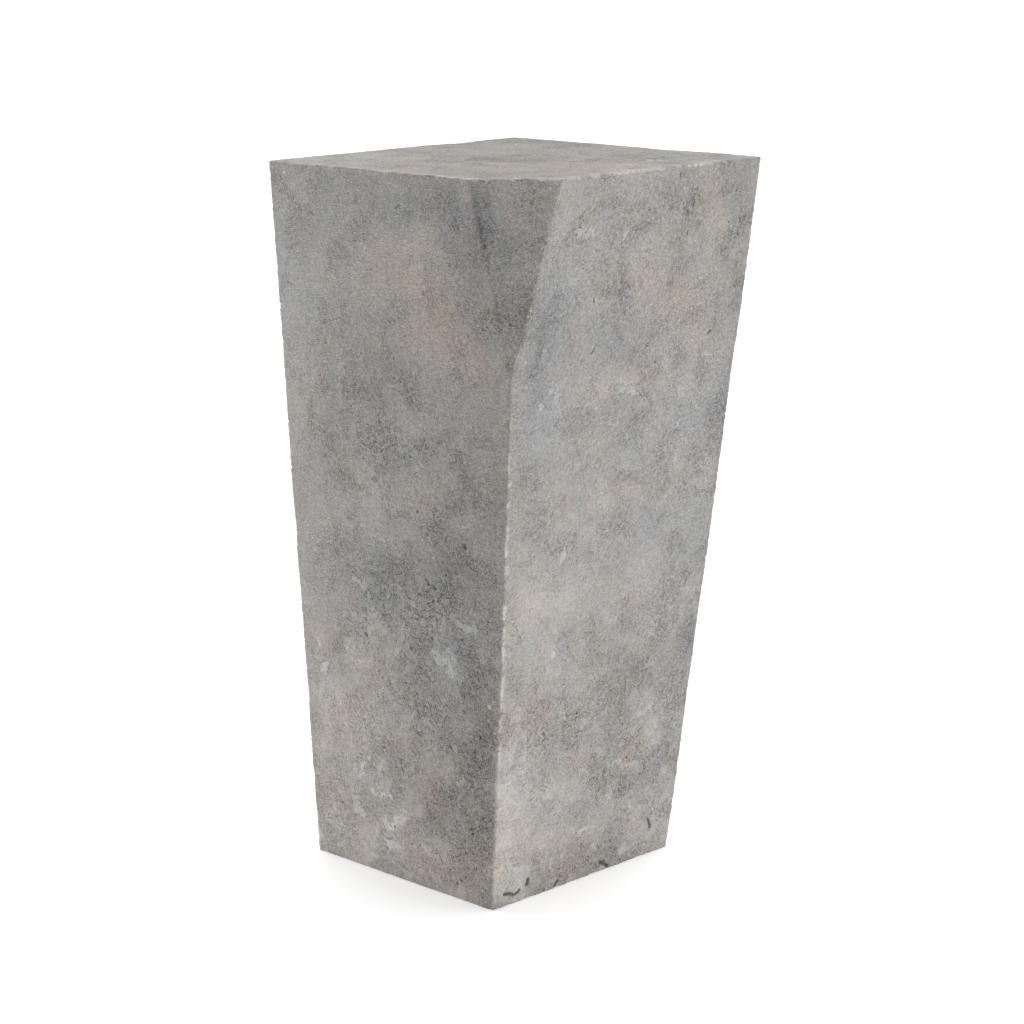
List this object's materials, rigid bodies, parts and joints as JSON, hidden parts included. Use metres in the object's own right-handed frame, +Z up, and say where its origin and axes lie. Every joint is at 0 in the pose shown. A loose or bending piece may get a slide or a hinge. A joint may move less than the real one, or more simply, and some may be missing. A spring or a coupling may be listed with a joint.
{
  "type": "display pedestal",
  "caption": "Square tapered pedestal, wider at the top, with one triangular facet, a trowelled cement coat over a board box, and levelling glides.",
  "frame": {"origin": "on the floor, straight below the centre of the square top", "axes": "+Z up. Front is -Y and right is +X. The facet is cut into the front right corner (+X, -Y). The base stands 25.7 mm towards -X and -Y of the top's centre."},
  "size_m": [0.4386, 0.4386, 0.914],
  "materials": {
    "cement": "trowelled matt cement",
    "fibreboard": "raw medium density fibreboard",
    "softwood": "raw planed softwood",
    "screw_steel": "yellow zinc plated",
    "zinc": "bright zinc plated",
    "nylon": "moulded nylon"
  },
  "bodies": {
    "root": {"back_panel": "fibreboard", "bottom_panel": "fibreboard", "bottom_panel_screws": "screw_steel", "brace_ledger_back": "softwood", "brace_ledger_front": "softwood", "cement_skin": "cement", "corner_cleat_back_left": "softwood", "corner_cleat_back_right": "softwood", "corner_cleat_front_left": "softwood", "corner_cleat_front_right": "softwood", "facet_panel": "fibreboard", "front_panel": "fibreboard", "ledger_screws": "screw_steel", "left_panel": "fibreboard", "lower_batten_back": "softwood", "lower_batten_front": "softwood", "lower_batten_left": "softwood", "lower_batten_right": "softwood", "lower_batten_screws": "screw_steel", "mid_brace": "fibreboard", "right_panel": "fibreboard", "tee_nut_back_left": "zinc", "tee_nut_back_right": "zinc", "tee_nut_front_left": "zinc", "tee_nut_front_right": "zinc", "top_panel": "fibreboard", "top_panel_screws": "screw_steel", "upper_batten_back": "softwood", "upper_batten_front": "softwood", "upper_batten_left": "softwood", "upper_batten_right": "softwood", "upper_batten_screws": "screw_steel"},
    "glide_pad_front_left": {"glide_pad_front_left": "nylon"},
    "glide_stud_front_left": {"glide_stud_front_left": "zinc"},
    "glide_pad_front_right": {"glide_pad_front_right": "nylon"},
    "glide_stud_front_right": {"glide_stud_front_right": "zinc"},
    "glide_pad_back_right": {"glide_pad_back_right": "nylon"},
    "glide_stud_back_right": {"glide_stud_back_right": "zinc"},
    "glide_pad_back_left": {"glide_pad_back_left": "nylon"},
    "glide_stud_back_left": {"glide_stud_back_left": "zinc"}
  },
  "joints": [
    {"name": "glide_travel_front_left", "type": "slide", "parent": "root", "child": "glide_pad_front_left", "axis": [0, 0, -1], "range_m": [0, 0.01]},
    {"name": "glide_spin_front_left", "type": "hinge", "parent": "glide_pad_front_left", "child": "glide_stud_front_left", "pos_m": [-0.1307, -0.1307, 0], "axis": [0, 0, -1], "range_deg": [0, 2880]},
    {"name": "glide_travel_front_right", "type": "slide", "parent": "root", "child": "glide_pad_front_right", "axis": [0, 0, -1], "range_m": [0, 0.01]},
    {"name": "glide_spin_front_right", "type": "hinge", "parent": "glide_pad_front_right", "child": "glide_stud_front_right", "pos_m": [0.0793, -0.1307, 0], "axis": [0, 0, -1], "range_deg": [0, 2880]},
    {"name": "glide_travel_back_right", "type": "slide", "parent": "root", "child": "glide_pad_back_right", "axis": [0, 0, -1], "range_m": [0, 0.01]},
    {"name": "glide_spin_back_right", "type": "hinge", "parent": "glide_pad_back_right", "child": "glide_stud_back_right", "pos_m": [0.0793, 0.0793, 0], "axis": [0, 0, -1], "range_deg": [0, 2880]},
    {"name": "glide_travel_back_left", "type": "slide", "parent": "root", "child": "glide_pad_back_left", "axis": [0, 0, -1], "range_m": [0, 0.01]},
    {"name": "glide_spin_back_left", "type": "hinge", "parent": "glide_pad_back_left", "child": "glide_stud_back_left", "pos_m": [-0.1307, 0.0793, 0], "axis": [0, 0, -1], "range_deg": [0, 2880]}
  ],
  "couplings": [
    {"joint": "glide_spin_front_left", "follows": "glide_travel_front_left", "rad_per_m": 5026.5},
    {"joint": "glide_spin_front_right", "follows": "glide_travel_front_right", "rad_per_m": 5026.5},
    {"joint": "glide_spin_back_right", "follows": "glide_travel_back_right", "rad_per_m": 5026.5},
    {"joint": "glide_spin_back_left", "follows": "glide_travel_back_left", "rad_per_m": 5026.5}
  ]
}
